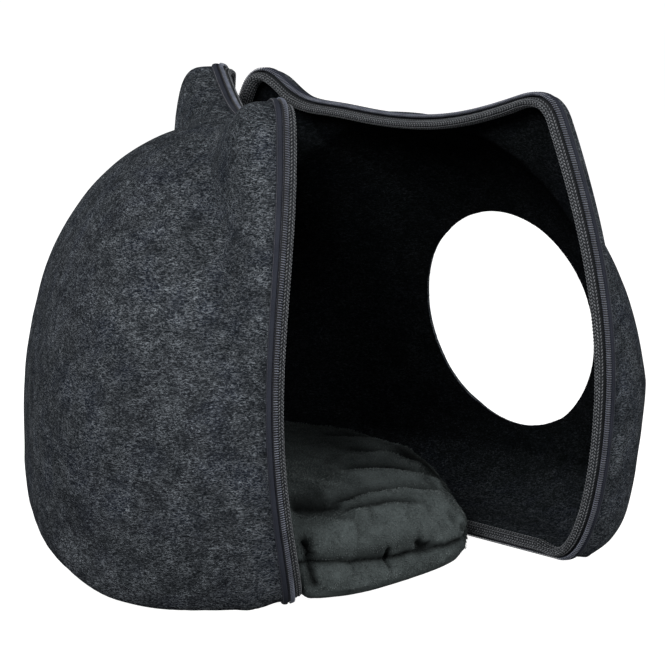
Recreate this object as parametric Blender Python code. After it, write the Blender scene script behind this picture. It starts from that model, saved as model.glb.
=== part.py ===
"""A felt cat cave, standing open on its zip: two moulded felt bowls and a plush pad.

Metres, +Z up. Zipped shut, the cave faces -Y: the back bowl's body is at +Y and the front
bowl's at -Y, with the entrance hole in it. The two rims meet along a vertical hinge line at +X,
the last closed stretch of the zip, and the front bowl is swung open about that line. The origin
is on the flat underside of the back bowl.

Each bowl is drawn about a vertical rim outline. A point of it is given by its ray, which runs
from the bowl's middle to one point of the rim, and by how deep it lies behind the rim.
"""

import math

import bmesh
import bpy
import numpy as np
from mathutils import Vector
from mathutils.geometry import interpolate_bezier

MM = 0.001

# Rim outline, from the valley between the ears round the free side to the floor. The other side
# mirrors it. "heading" is the way the outline runs there, in degrees from level.
RIM_KNOTS = (
    # place,            across,   up,      heading, handle before, handle after
    ("valley",          0.0,      0.3685,    0.0,   0.0,           0.055),
    ("ear, inner foot", 0.141,    0.3935,   18.0,   0.0565,        0.020),
    ("ear, shoulder",   0.190,    0.3780,  -65.0,   0.026,         0.066),
    ("widest",          0.2475,   0.1600,  -90.0,   0.077,         0.0825),
    ("heel",            0.196,    0.0,    -180.0,   0.032,         0.050),
    ("floor, middle",   0.0,      0.0,    -180.0,   0.050,         0.0),
)
STRETCH_POINTS = 60
HALF_WIDTH = 0.2475
TOP_HEIGHT = 0.3985
VALLEY_HEIGHT = 0.3685
RAY_CENTRE_UP = 0.103

BACK_RIM_Y = -0.085
OPEN_ANGLE = math.radians(32.9)

FELT = 4.0 * MM
DOME_ROUNDNESS = 2.13
EAR_STEEPNESS = 4.5
EAR_SOFTNESS = 14.0 * MM
EAR_FULL_HEIGHT = 0.075
# How the free side of a rim is drawn back: fullest a little above its middle, and nothing at the
# middle of the cave.
BOW_HEIGHT_POWER, BOW_ROUNDNESS, BOW_SIDE_POWER = 0.8, 1.2, 2

# Each bowl is a rounded box behind its rim. Under "side" is how square its level sections are,
# and under "top" and "floor" its upright ones: 2 is round, 6 is nearly a box. "bow" is how far
# the rim's free side is drawn back.
BACK_BOWL = {
    "way": 1, "depth": 0.197, "tall": 1.014, "bow": 21.0 * MM, "ear depth": 0.041,
    "top": 2.14, "side": 2.8, "floor": 5.3, "flank sags": 0.0, "tip lifts": 2.5 * MM,
}
FRONT_BOWL = {
    "way": -1, "depth": 0.178, "tall": 1.0, "bow": 0.0, "ear depth": 0.022,
    "top": 2.10, "side": 2.0, "floor": 3.1, "flank sags": 10.0 * MM, "tip lifts": 5.5 * MM,
}
# The closed zip pulls the hinge-side ear out of shape: its tip stands up and its inner flank sags.
EAR_FLANK = {"across": 0.122, "half width": 0.042}
EAR_TIP = {"across": 0.174, "half width": 0.020}

# On the hinge side the zip is closed, which draws the two rims together up to the ear's shoulder
# and down to the heel: there they meet halfway between the planes of the rims.
ZIPPED_TOP = {"ends": 0.156, "full": 0.206}
ZIPPED_HEEL = {"ends": 0.200, "full": 0.232}

HOLE_DIAMETER = 0.210
HOLE_UP = 0.1635

# The zip and the binding, as distances inward from the rim line and deep behind it.
COIL_WIDTH = 4.6 * MM
COIL_THICK = 4.5 * MM
FELT_START = 5.4 * MM
TAPE_START = 4.9 * MM
TAPE_END = 10.9 * MM
PROUD_SIDE = 3.2 * MM
PROUD_FLOOR = 2.0 * MM
FLOOR_ENDS, FLOOR_GONE = 4.0 * MM, 34.0 * MM
TAPE_BELOW_COIL = 1.0 * MM
BINDING_REACH = 13.2 * MM
BINDING_BULGE = 4.6 * MM
SEAT_GAP = 0.3 * MM

FLOOR_DROP = 6.5 * MM
FLOOR_DROP_START = 11.5 * MM
FLOOR_DROP_RUN = 24.0 * MM

PAD_HALF_ACROSS = 0.203
PAD_AHEAD_OF_RIM = 0.181
PAD_BEHIND_RIM = 0.148
PAD_CROWN = 0.069
PAD_SEAM_UP = 0.027
PAD_CORNERS = {"free side": 2.2, "hinge side": 1.9, "behind": 2.2}
PAD_LOBES = (
    # place,               degrees round, half width, reaches further
    ("by the near edge",   191.0,         11.0,       8.0 * MM),
    ("front tip",          233.0,         12.0,       9.5 * MM),
)
DRAPE_CLEARANCE = 2.0 * MM
# How far the room over the floor and lip rises towards the bowl's sides: (across, rise).
LIP_RISES = ((0.120, 0.0), (0.165, 2.5 * MM), (0.210, 11.0 * MM), (0.370, 60.0 * MM))

RIM_STEPS = 72
BOWL_RINGS = 16
# The share of the rings that lie evenly from rim to crown: the others lie closer near the rim.
EVEN_RINGS = 0.36

COLOURS = {
    # finish:  (red, green, blue), roughness
    "felt":    ((0.030, 0.032, 0.036), 0.95),
    "tape":    ((0.036, 0.038, 0.050), 0.60),
    "coil":    ((0.012, 0.013, 0.022), 0.40),
    "mesh":    ((0.075, 0.077, 0.080), 0.85),
    "plush":   ((0.030, 0.036, 0.036), 0.90),
}


def clear_scene():
    for obj in list(bpy.data.objects):
        bpy.data.objects.remove(obj, do_unlink=True)


def finish_material(finish):
    colour, roughness = COLOURS[finish]
    material = bpy.data.materials.new(finish)
    material.use_nodes = True
    shader = material.node_tree.nodes["Principled BSDF"]
    shader.inputs["Base Color"].default_value = (*colour, 1.0)
    shader.inputs["Roughness"].default_value = roughness
    material.diffuse_color = (*colour, 1.0)
    return material


def smoothstep(value):
    clipped = np.clip(value, 0.0, 1.0)
    return clipped * clipped * (3.0 - 2.0 * clipped)


def heading_vector(degrees):
    turn = math.radians(degrees)
    return Vector((math.cos(turn), math.sin(turn), 0.0))


def half_outline():
    """The rim line from the valley to the middle of the floor, as close points."""
    points = []
    for start, end in zip(RIM_KNOTS, RIM_KNOTS[1:]):
        first = Vector((start[1], start[2], 0.0))
        last = Vector((end[1], end[2], 0.0))
        leaves = first + heading_vector(start[3]) * start[5]
        arrives = last - heading_vector(end[3]) * end[4]
        stretch = interpolate_bezier(first, leaves, arrives, last, STRETCH_POINTS)
        points += [(p.x, p.y) for p in stretch[:-1]]
    points.append((0.0, 0.0))
    return np.array(points)


def spread(points, steps, bend_weight=0.05):
    """The same line in fewer points, set closer where it bends."""
    legs = np.diff(points, axis=0)
    lengths = np.hypot(legs[:, 0], legs[:, 1])
    headings = np.unwrap(np.arctan2(legs[:, 1], legs[:, 0]))
    bends = np.abs(np.gradient(headings))
    travel = np.concatenate([[0.0], np.cumsum(lengths + bend_weight * bends)])
    wanted = np.linspace(0.0, travel[-1], steps + 1)
    return np.stack([np.interp(wanted, travel, points[:, k]) for k in (0, 1)], axis=1)


class Rays:
    """The rays of the rim, from the valley round by +X, the floor and -X."""

    def __init__(self, bowl):
        half = spread(half_outline() * (1.0, bowl["tall"]), RIM_STEPS // 2)
        mirrored = half[-2:0:-1] * (-1.0, 1.0)
        rim = np.concatenate([half, mirrored])
        for place, rise in ((EAR_FLANK, -bowl["flank sags"]), (EAR_TIP, bowl["tip lifts"])):
            off = (rim[:, 0] - place["across"]) / place["half width"]
            rim[:, 1] += rise * np.exp(-(off**2)) * (rim[:, 1] > HOLE_UP)
        along = rim - (0.0, RAY_CENTRE_UP)
        self.reach = np.hypot(along[:, 0], along[:, 1])
        self.direction = along / self.reach[:, None]
        legs = np.roll(rim, -1, axis=0) - rim
        normal = np.stack([-legs[:, 1], legs[:, 0]], axis=1)
        normal /= np.hypot(legs[:, 0], legs[:, 1])[:, None]
        leans = [
            np.abs((beside * self.direction).sum(axis=1))
            for beside in (normal, np.roll(normal, 1, axis=0))
        ]
        self.lean = np.minimum(*leans)
        near_floor = 1.0 - smoothstep((rim[:, 1] - FLOOR_ENDS) / (FLOOR_GONE - FLOOR_ENDS))
        self.felt_inset = PROUD_SIDE + (PROUD_FLOOR - PROUD_SIDE) * near_floor
        self.tape_inset = TAPE_BELOW_COIL * (1.0 - near_floor)

    def point(self, inset):
        """The point of each ray that lies this far inward of the rim line."""
        across, up = self.at(self.reach - inset / self.lean)
        return across, np.maximum(up, 0.0)

    def at(self, radius):
        return radius * self.direction[:, 0], RAY_CENTRE_UP + radius * self.direction[:, 1]


def to_meeting(rays):
    """How far each point of the rim is from meeting the other rim, and how far it is drawn there."""
    across, up = rays.at(rays.reach)
    zipped = np.where(
        up > HOLE_UP,
        smoothstep((across - ZIPPED_TOP["ends"]) / (ZIPPED_TOP["full"] - ZIPPED_TOP["ends"])),
        smoothstep((across - ZIPPED_HEEL["ends"]) / (ZIPPED_HEEL["full"] - ZIPPED_HEEL["ends"])),
    )
    apart = (HALF_WIDTH - across) * math.tan(OPEN_ANGLE / 2)
    return apart * (1.0 - zipped), apart * zipped


def drawn(rays, deep, bowl):
    """How deep points lie once the rim's free side is drawn back and its hinge side forward."""
    across, up = rays.at(rays.reach)
    height = np.clip(up / TOP_HEIGHT, 0.0, 1.0) ** BOW_HEIGHT_POWER
    side = np.clip(-across / HALF_WIDTH, 0.0, 1.0) ** BOW_SIDE_POWER
    back = bowl["bow"] * np.sin(math.pi * height) ** BOW_ROUNDNESS * side
    _, forward = to_meeting(rays)
    return deep + (back - forward) * (1.0 - deep / bowl["depth"])


def dome_reach(rays):
    """How far the bowl reaches along each ray, leaving out the ears."""
    rise = VALLEY_HEIGHT - RAY_CENTRE_UP - PROUD_SIDE
    across = np.abs(rays.direction[:, 0]) / HALF_WIDTH + 1e-9
    up = np.maximum(rays.direction[:, 1], 0.0) / rise
    dome = (across**DOME_ROUNDNESS + up**DOME_ROUNDNESS) ** (-1.0 / DOME_ROUNDNESS)
    felt = rays.reach - rays.felt_inset / rays.lean
    return np.where(rays.direction[:, 1] > 0.0, np.minimum(dome, felt), felt), felt


def box_shares(rays, dome, tall):
    """Which part of each ray's reach is towards the side, and which towards the top or floor."""
    across = dome * np.abs(rays.direction[:, 0]) / HALF_WIDTH
    half_tall = np.where(rays.direction[:, 1] > 0.0, VALLEY_HEIGHT - RAY_CENTRE_UP, RAY_CENTRE_UP)
    up = dome * np.abs(rays.direction[:, 1]) / half_tall
    level = (across**tall + up**tall) ** (1.0 / tall)
    return across / level, up / level


def ear_height(ear, deep, bowl):
    """How far an ear stands out of the dome. It sinks into it with depth, first at its foot."""
    sunk = EAR_FULL_HEIGHT * (np.maximum(deep - TAPE_END, 0.0) / bowl["ear depth"]) ** EAR_STEEPNESS
    left = ear - sunk
    soft = np.minimum(EAR_SOFTNESS, sunk)
    return 0.5 * (left + np.sqrt(left**2 + soft**2))


def bowl_rings(rays, bowl):
    """Rings of (across, up, deep) from the rim to the back of the bowl, without the last point."""
    dome, felt = dome_reach(rays)
    side = bowl["side"]
    tall = np.where(rays.direction[:, 1] > 0.0, bowl["top"], bowl["floor"])
    sideways, upright = box_shares(rays, dome, tall)
    rings = [(*rays.at(felt), drawn(rays, FELT_START, bowl))]
    for step in np.arange(BOWL_RINGS) / BOWL_RINGS:
        turn = (EVEN_RINGS * step + (1.0 - EVEN_RINGS) * step**3) * math.pi / 2
        inward, back = math.cos(turn), math.sin(turn)
        level = (back**side + (inward * sideways) ** side) ** (tall / side)
        size = (level + (inward * upright) ** tall) ** (1.0 / tall)
        deep = TAPE_END + (bowl["depth"] - TAPE_END) * back / size
        radius = inward / size * dome + ear_height(felt - dome, deep, bowl)
        across, up = rays.at(radius)
        drop = FLOOR_DROP * smoothstep((deep - FLOOR_DROP_START) / FLOOR_DROP_RUN)
        up = np.maximum(up - drop * (rays.direction[:, 1] < 0.0) * upright**2, 0.0)
        rings.append((across, up, drawn(rays, deep, bowl)))
    return rings


def add_object(name, mesh, finish, parent):
    mesh.materials.append(finish_material(finish))
    obj = bpy.data.objects.new(name, mesh)
    bpy.context.scene.collection.objects.link(obj)
    obj.parent = parent
    mesh.shade_smooth()
    return obj


def mesh_of(name, shape):
    bmesh.ops.recalc_face_normals(shape, faces=shape.faces)
    mesh = bpy.data.meshes.new(name)
    shape.to_mesh(mesh)
    shape.free()
    return mesh


def add_rings(shape, rings, way):
    """Verts for each ring. The body lies along +Y from the rim if way is 1, and along -Y if -1."""
    return [
        [shape.verts.new((x, way * y, z)) for x, z, y in zip(across, up, deep)]
        for across, up, deep in rings
    ]


def join_rings(shape, rings, closed_ways):
    """Quads between rings, and from the last ring back to the first if closed_ways is set."""
    pairs = list(zip(rings, rings[1:]))
    if closed_ways:
        pairs.append((rings[-1], rings[0]))
    for ring, following in pairs:
        for k in range(len(ring)):
            after = (k + 1) % len(ring)
            shape.faces.new((ring[k], ring[after], following[after], following[k]))


def felt_bowl(name, rays, bowl, parent):
    shape = bmesh.new()
    rings = add_rings(shape, bowl_rings(rays, bowl), bowl["way"])
    join_rings(shape, rings, closed_ways=False)
    crown = shape.verts.new((0.0, bowl["way"] * bowl["depth"], RAY_CENTRE_UP))
    last = rings[-1]
    for k in range(len(last)):
        shape.faces.new((last[k], last[(k + 1) % len(last)], crown))
    obj = add_object(name, mesh_of(name, shape), "felt", parent)
    wall = obj.modifiers.new("felt thickness", "SOLIDIFY")
    wall.thickness = FELT
    wall.offset = -1.0
    wall.use_even_offset = True
    return obj


def rim_strip(name, rays, profile, finish, bowl, parent):
    """A strip swept round the rim. The profile is a closed list of (inset, deep) pairs."""
    shape = bmesh.new()
    lines = []
    for inset, deep in profile:
        across, up = rays.point(inset)
        lines.append((across, up, drawn(rays, deep, bowl)))
    join_rings(shape, add_rings(shape, lines, bowl["way"]), closed_ways=True)
    return add_object(name, mesh_of(name, shape), finish, parent)


def tape_profile(rays):
    top = rays.tape_inset
    under = rays.felt_inset - SEAT_GAP
    round_off = 0.5 * MM
    return [
        (top + round_off, TAPE_START),
        (top, TAPE_START + round_off),
        (top, TAPE_END - round_off),
        (top + round_off, TAPE_END),
        (under, TAPE_END),
        (under, TAPE_START),
    ]


def coil_profile():
    round_off = 1.1 * MM
    front = 0.2 * MM
    return [
        (round_off, front),
        (0.0, front + round_off),
        (0.0, COIL_WIDTH - round_off),
        (round_off, COIL_WIDTH),
        (COIL_THICK, COIL_WIDTH),
        (COIL_THICK, front),
    ]


def binding_profile(rays):
    """A rolled ribbon below the coil. It bulges forward, but not where the rims meet."""
    outer = COIL_THICK + 0.4 * MM
    left_to_meet, _ = to_meeting(rays)
    bulge = np.minimum(BINDING_BULGE, 0.45 * left_to_meet)
    felt_inner = rays.felt_inset + FELT + 4 * SEAT_GAP
    behind_coil = COIL_WIDTH
    return [
        (outer, behind_coil),
        (outer, 0.8 * MM),
        (outer + 1.5 * MM, 0.2 * MM - 0.75 * bulge),
        (outer + 4.3 * MM, 0.2 * MM - bulge),
        (BINDING_REACH - 1.0 * MM, 0.2 * MM - 0.45 * bulge),
        (BINDING_REACH, 3.0 * MM),
        (BINDING_REACH - 1.4 * MM, 9.0 * MM),
        (felt_inner, 9.6 * MM),
        (felt_inner, behind_coil),
    ]


def cut(obj, cutter, label):
    cutter.hide_render = True
    cutter.display_type = "WIRE"
    boolean = obj.modifiers.new(label, "BOOLEAN")
    boolean.object = cutter
    boolean.operation = "DIFFERENCE"
    return boolean


def hole_cutter(parent):
    """A round bar through the front wall alone."""
    shape = bmesh.new()
    bmesh.ops.create_cone(
        shape,
        cap_ends=True,
        segments=64,
        radius1=HOLE_DIAMETER / 2,
        radius2=HOLE_DIAMETER / 2,
        depth=FRONT_BOWL["depth"],
    )
    cutter = add_object("hole_cutter", mesh_of("hole_cutter", shape), "felt", parent)
    cutter.rotation_euler = (math.radians(90.0), 0.0, 0.0)
    cutter.location = (0.0, -FRONT_BOWL["depth"], HOLE_UP)
    return cutter


def lip_cutter(name, way, parent):
    """The room above a bowl's floor and its rolled lip, which the pad must stay out of."""
    lip_top = BINDING_REACH + DRAPE_CLEARANCE
    floor_top = FELT + SEAT_GAP
    below = -10.0 * MM
    front = -BINDING_BULGE - DRAPE_CLEARANCE
    curve_starts, beyond = 0.30 * BACK_BOWL["depth"], 1.5 * BACK_BOWL["depth"]
    section = [
        (front - 4.0 * MM, below),
        (front, lip_top),
        (TAPE_END + DRAPE_CLEARANCE, lip_top),
        (TAPE_END + DRAPE_CLEARANCE + FLOOR_DROP_RUN, floor_top),
        (curve_starts, floor_top),
        (beyond, floor_top + 26.0 * MM),
        (beyond, below),
    ]
    shape = bmesh.new()
    slices = [
        [
            shape.verts.new((x, way * deep, up + rise * (up > below)))
            for deep, up in section
        ]
        for x, rise in [(-x, rise) for x, rise in reversed(LIP_RISES)] + list(LIP_RISES)
    ]
    join_rings(shape, slices, closed_ways=False)
    for end in (slices[0], slices[-1]):
        shape.faces.new(end)
    return add_object(name, mesh_of(name, shape), "felt", parent)


def pad_outline(turn):
    """How far the pad reaches at an angle about its middle: its front free corner is fullest."""
    free, hinge = PAD_CORNERS["free side"], PAD_CORNERS["hinge side"]
    if math.sin(turn) > 0.0:
        corner, half_deep = PAD_CORNERS["behind"], PAD_BEHIND_RIM
    else:
        corner = (free + hinge) / 2 - math.cos(turn) * (free - hinge) / 2
        half_deep = PAD_AHEAD_OF_RIM
    across = abs(math.cos(turn)) / PAD_HALF_ACROSS
    deep = abs(math.sin(turn)) / half_deep
    reach = (across**corner + deep**corner) ** (-1.0 / corner)
    for _, degrees, half_width, further in PAD_LOBES:
        reach += further * math.exp(-(((math.degrees(turn) - degrees) / half_width) ** 2))
    return reach


# Troughs in the pad's top, as straight lines in plan between two points measured from the middle
# of the back rim: "half width" is how far each side of the line the plush sinks.
PAD_FOLDS = (
    # place,                x1,      y1,      x2,      y2,     depth,   half width
    ("across the top",     -0.078,  -0.030,  -0.092,  -0.175,  0.0060,  0.011),
    ("behind it",          -0.040,  -0.060,  -0.048,  -0.172,  0.0040,  0.009),
    ("near the rim",       -0.205,  -0.012,  -0.150,  -0.020,  0.0050,  0.009),
    ("seam pucker",        -0.200,  -0.085,  -0.155,  -0.080,  0.0045,  0.009),
)


def fold_sink(x, y):
    sink = 0.0
    for _, x1, y1, x2, y2, depth, half_width in PAD_FOLDS:
        start, run = Vector((x1, y1)), Vector((x2 - x1, y2 - y1))
        part = max(0.0, min(1.0, (Vector((x, y)) - start).dot(run) / run.length_squared))
        away = (Vector((x, y)) - start - run * part).length
        sink += depth * math.exp(-((away / half_width) ** 2))
    return sink


PAD_PROFILE = (
    # place,          share of the reach, up as a share, of what
    ("under, middle",    0.000, 0.00, "seam"),
    ("under, inner",     0.450, 0.00, "seam"),
    ("under, outer",     0.930, 0.00, "seam"),
    ("turning up",       0.972, 0.08, "seam"),
    ("lower side",       0.994, 0.46, "seam"),
    ("below the seam",   0.990, 0.85, "seam"),
    ("seam",             0.972, 1.00, "seam"),
    ("above the seam",   0.992, 0.10, "crown"),
    ("upper side",       0.985, 0.35, "crown"),
    ("shoulder, low",    0.955, 0.58, "crown"),
    ("shoulder, high",   0.900, 0.74, "crown"),
    ("top, outer",       0.800, 0.87, "crown"),
    ("top, two thirds",  0.660, 0.94, "crown"),
    ("top, half",        0.480, 0.975, "crown"),
    ("top, inner",       0.250, 0.995, "crown"),
    ("top, middle",      0.000, 1.00, "crown"),
)


def pad(parent, spokes=56):
    shape = bmesh.new()
    rings = []
    for place, share, rise, of_what in PAD_PROFILE:
        ring = []
        for k in range(spokes if share else 1):
            turn = 2 * math.pi * k / spokes
            reach = pad_outline(turn) * share
            x, y = reach * math.cos(turn), reach * math.sin(turn)
            up = PAD_SEAM_UP * rise
            if of_what == "crown":
                up = PAD_SEAM_UP + (PAD_CROWN - PAD_SEAM_UP) * rise
                up -= fold_sink(x, y) * min(1.0, rise / 0.58)
            ring.append(shape.verts.new((x, y, up)))
        rings.append(ring)
    for ring, following in zip(rings, rings[1:]):
        for k in range(spokes):
            after = (k + 1) % spokes
            corners = [ring[k % len(ring)], ring[after % len(ring)]]
            corners += [following[after % len(following)], following[k % len(following)]]
            shape.faces.new(list(dict.fromkeys(corners)))
    return add_object("cushion", mesh_of("cushion", shape), "plush", parent)


def empty(name, location, turn=0.0):
    obj = bpy.data.objects.new(name, None)
    bpy.context.scene.collection.objects.link(obj)
    obj.location = location
    obj.rotation_euler = (0.0, 0.0, turn)
    return obj


def half_cave(label, bowl, parent):
    """A bowl with its zip tape, coil and binding."""
    rays = Rays(bowl)
    felt = felt_bowl(f"{label}_shell", rays, bowl, parent)
    for piece, finish, profile in (
        ("zip_tape", "tape", tape_profile(rays)),
        ("zip_coil", "coil", coil_profile()),
        ("binding", "mesh", binding_profile(rays)),
    ):
        rim_strip(f"{piece}_{label}", rays, profile, finish, bowl, parent)
    return felt


def main():
    clear_scene()
    back = empty("back_rim_middle", (0.0, BACK_RIM_Y, 0.0))
    hinge = empty("hinge_line", (HALF_WIDTH, BACK_RIM_Y, 0.0), OPEN_ANGLE)
    front = empty("front_rim_middle", (-HALF_WIDTH, 0.0, 0.0))
    front.parent = hinge

    half_cave("back", BACK_BOWL, back)
    front_shell = half_cave("front", FRONT_BOWL, front)
    cut(front_shell, hole_cutter(front), "entrance hole")

    cushion = pad(back)
    cut(cushion, lip_cutter("back_lip_cutter", 1, back), "over the back lip")
    cut(cushion, lip_cutter("front_lip_cutter", -1, front), "over the front lip")


main()
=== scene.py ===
# %% [markdown]
# # A felt cat cave, opened on its zip
#
# Two bowls of thick moulded felt zip together round their rims and make a cave with two cat ears
# and a round entrance. Here the zip is undone nearly all the way, so the front bowl stands swung
# open beside the back one, and the plush pad lies inside, over the two bottom lips.
#
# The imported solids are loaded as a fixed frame. Everything made below is dressed round them, in
# metres, with +Z up: the back bowl opens towards -Y, and the two rims still meet at +X.

# %% Load the frame
import math

import bmesh
import bpy
import numpy as np
from mathutils import Matrix, Vector, noise
from mathutils.bvhtree import BVHTree
from mathutils.geometry import interpolate_bezier


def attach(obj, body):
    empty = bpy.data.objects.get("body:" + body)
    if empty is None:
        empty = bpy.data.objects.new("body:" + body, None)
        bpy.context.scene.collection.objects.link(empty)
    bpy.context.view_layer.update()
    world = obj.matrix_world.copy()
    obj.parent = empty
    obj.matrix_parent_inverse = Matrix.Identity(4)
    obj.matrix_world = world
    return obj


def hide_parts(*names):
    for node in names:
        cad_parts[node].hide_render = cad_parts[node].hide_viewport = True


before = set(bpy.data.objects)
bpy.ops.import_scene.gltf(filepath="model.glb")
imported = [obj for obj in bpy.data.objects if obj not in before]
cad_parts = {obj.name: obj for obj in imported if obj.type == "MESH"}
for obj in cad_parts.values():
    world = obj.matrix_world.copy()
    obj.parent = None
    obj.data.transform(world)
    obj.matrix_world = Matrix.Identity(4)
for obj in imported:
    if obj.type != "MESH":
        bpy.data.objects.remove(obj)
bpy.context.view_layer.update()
MM = 0.001
print("solids:", sorted(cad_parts))

# %% [markdown]
# ## Camera
#
# The photograph is taken from the cave's free side, slightly above it and from about two metres
# away, through a long lens. One function turns a heading and a dip into the way the camera looks.

# %% Camera
CAMERA_PLACE = Vector((-1.998, 0.244, 0.5756))
CAMERA_HEADING = math.radians(-11.307)
CAMERA_DIP = math.radians(10.955)
PHOTO_SIDE_PX = 665
FOCAL_PX = 2372


def looking(heading, dip):
    """A view's direction: it starts along +X, and turns left by heading and down by dip."""
    level = math.cos(dip)
    return Vector((level * math.cos(heading), level * math.sin(heading), -math.sin(dip)))


def facing(direction):
    """The turn of a camera or a light that points this way."""
    return direction.to_track_quat("-Z", "Y").to_euler()


camera_data = bpy.data.cameras.new("camera")
camera_data.sensor_width = 36.0
camera_data.lens = camera_data.sensor_width * FOCAL_PX / PHOTO_SIDE_PX
camera = bpy.data.objects.new("camera", camera_data)
camera.location = CAMERA_PLACE
camera.rotation_euler = facing(looking(CAMERA_HEADING, CAMERA_DIP))
bpy.context.scene.collection.objects.link(camera)
bpy.context.scene.camera = camera
print("lens, mm:", round(camera_data.lens, 1))

# %% [markdown]
# ## Helpers for nodes and meshes
#
# Materials and Geometry Nodes are both node trees. One small function adds a node, sets it and
# links it, so each tree below reads as a list of what it does. Colours are written as sRGB hex
# values, as a picture editor shows them, and one function turns them to the linear values that
# the renderer works with.


# %% Node and colour helpers
def srgb(code):
    """A colour such as "34383c" as linear red, green, blue and a full alpha."""
    shares = [int(code[k : k + 2], 16) / 255 for k in (0, 2, 4)]
    linear = [s / 12.92 if s <= 0.04045 else ((s + 0.055) / 1.055) ** 2.4 for s in shares]
    return (*linear, 1.0)


def add_node(tree, kind, inputs=None, **settings):
    """One node: settings are its properties, inputs its values or the sockets that feed it."""
    node = tree.nodes.new(kind)
    for name, value in settings.items():
        setattr(node, name, value)
    for key, value in (inputs or {}).items():
        if isinstance(value, bpy.types.NodeSocket):
            tree.links.new(value, node.inputs[key])
        else:
            node.inputs[key].default_value = value
    return node


def map_range(tree, value, low, high, to_low=0.0, to_high=1.0):
    inputs = {"Value": value, "From Min": low, "From Max": high}
    inputs |= {"To Min": to_low, "To Max": to_high}
    return add_node(tree, "ShaderNodeMapRange", inputs).outputs["Result"]


def maths(tree, operation, first, second=0.0):
    return add_node(tree, "ShaderNodeMath", {0: first, 1: second}, operation=operation).outputs[0]


# %% Mesh helpers
def smoothstep(value):
    clipped = np.clip(value, 0.0, 1.0)
    return clipped * clipped * (3.0 - 2.0 * clipped)


def link(obj):
    bpy.context.scene.collection.objects.link(obj)
    return obj


def tell(obj):
    print(f"{obj.name}: {sum(len(face.vertices) - 2 for face in obj.data.polygons)} triangles")


def bake_modifiers(obj):
    """The object's modifiers become part of a plain mesh."""
    graph = bpy.context.evaluated_depsgraph_get()
    mesh = bpy.data.meshes.new_from_object(obj.evaluated_get(graph), depsgraph=graph)
    obj.modifiers.clear()
    obj.data = mesh
    return obj


# %% [markdown]
# ## The rim outline
#
# Everything on the cave follows one closed line, the rim: a shallow valley on top, two ears, round
# sides and a flat floor. Half of it is drawn as five Bezier stretches and mirrored. The bowls, the
# tape, the coil and the binding are all made from rays that run from the cave's middle to this
# line, so they fit each other without any fitting.

# %% Rim outline
RIM_KNOTS = (
    # place,            across,   up,      heading, handle before, handle after
    ("valley",          0.0,      0.3685,    0.0,   0.0,           0.055),
    ("ear, inner foot", 0.141,    0.3935,   18.0,   0.0565,        0.020),
    ("ear, shoulder",   0.190,    0.3780,  -65.0,   0.026,         0.066),
    ("widest",          0.2475,   0.1600,  -90.0,   0.077,         0.0825),
    ("heel",            0.196,    0.0,    -180.0,   0.032,         0.050),
    ("floor, middle",   0.0,      0.0,    -180.0,   0.050,         0.0),
)
STRETCH_POINTS = 160
RIM_STEPS = 400
BEND_WEIGHT = 0.05
HALF_WIDTH = 0.2475
TOP_HEIGHT = 0.3985
VALLEY_HEIGHT = 0.3685
RAY_CENTRE_UP = 0.103
BACK_RIM_Y = -0.085
OPEN_ANGLE = math.radians(32.9)
HOLE_DIAMETER = 0.210
HOLE_UP = 0.1635
# The hole's middle also parts the rim's upper part from its lower one.
UPPER_PART = HOLE_UP


def heading_vector(degrees):
    turn = math.radians(degrees)
    return Vector((math.cos(turn), math.sin(turn), 0.0))


def half_outline():
    """The rim line from the valley to the middle of the floor, as close points."""
    points = []
    for start, end in zip(RIM_KNOTS, RIM_KNOTS[1:]):
        first = Vector((start[1], start[2], 0.0))
        last = Vector((end[1], end[2], 0.0))
        leaves = first + heading_vector(start[3]) * start[5]
        arrives = last - heading_vector(end[3]) * end[4]
        stretch = interpolate_bezier(first, leaves, arrives, last, STRETCH_POINTS)
        points += [(p.x, p.y) for p in stretch[:-1]]
    points.append((0.0, 0.0))
    return np.array(points)


def spread(points, steps):
    """The same line in fewer points, set closer where it bends."""
    legs = np.diff(points, axis=0)
    lengths = np.hypot(legs[:, 0], legs[:, 1])
    headings = np.unwrap(np.arctan2(legs[:, 1], legs[:, 0]))
    bends = np.abs(np.gradient(headings))
    travel = np.concatenate([[0.0], np.cumsum(lengths + BEND_WEIGHT * bends)])
    wanted = np.linspace(0.0, travel[-1], steps + 1)
    return np.stack([np.interp(wanted, travel, points[:, k]) for k in (0, 1)], axis=1)


girth = 2 * np.hypot(*np.diff(half_outline(), axis=0).T).sum()
print("rim line, mm round:", round(girth / MM), "in steps of", round(girth / RIM_STEPS / MM, 1))

# %% [markdown]
# ## The two bowls' numbers
#
# The back bowl is deep with a flat floor, and the front one is shallower and rounder. The values
# top, side and floor say how square a bowl is there: 2 is round and 6 is nearly a box. Bow is how
# far the free side of its rim is drawn back. The closed end of the zip also pulls the hinge-side
# ear out of shape, which the last two values say.

# %% Bowl shapes
BACK_BOWL = {
    "way": 1, "depth": 0.197, "tall": 1.014, "bow": 21.0 * MM, "ear depth": 0.041,
    "top": 2.14, "side": 2.8, "floor": 5.3, "flank sags": 0.0, "tip lifts": 2.5 * MM,
}
FRONT_BOWL = {
    "way": -1, "depth": 0.178, "tall": 1.0, "bow": 0.0, "ear depth": 0.022,
    "top": 2.10, "side": 2.0, "floor": 3.1, "flank sags": 10.0 * MM, "tip lifts": 5.5 * MM,
}
EAR_FLANK = {"across": 0.122, "half width": 0.042}
EAR_TIP = {"across": 0.174, "half width": 0.020}
EAR_STEEPNESS = 4.5
EAR_SOFTNESS = 14.0 * MM
EAR_FULL_HEIGHT = 0.075
DOME_ROUNDNESS = 2.13
BOW_HEIGHT_POWER, BOW_ROUNDNESS, BOW_SIDE_POWER = 0.8, 1.2, 2
ZIPPED_TOP = {"ends": 0.156, "full": 0.206}
ZIPPED_HEEL = {"ends": 0.200, "full": 0.232}
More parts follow.
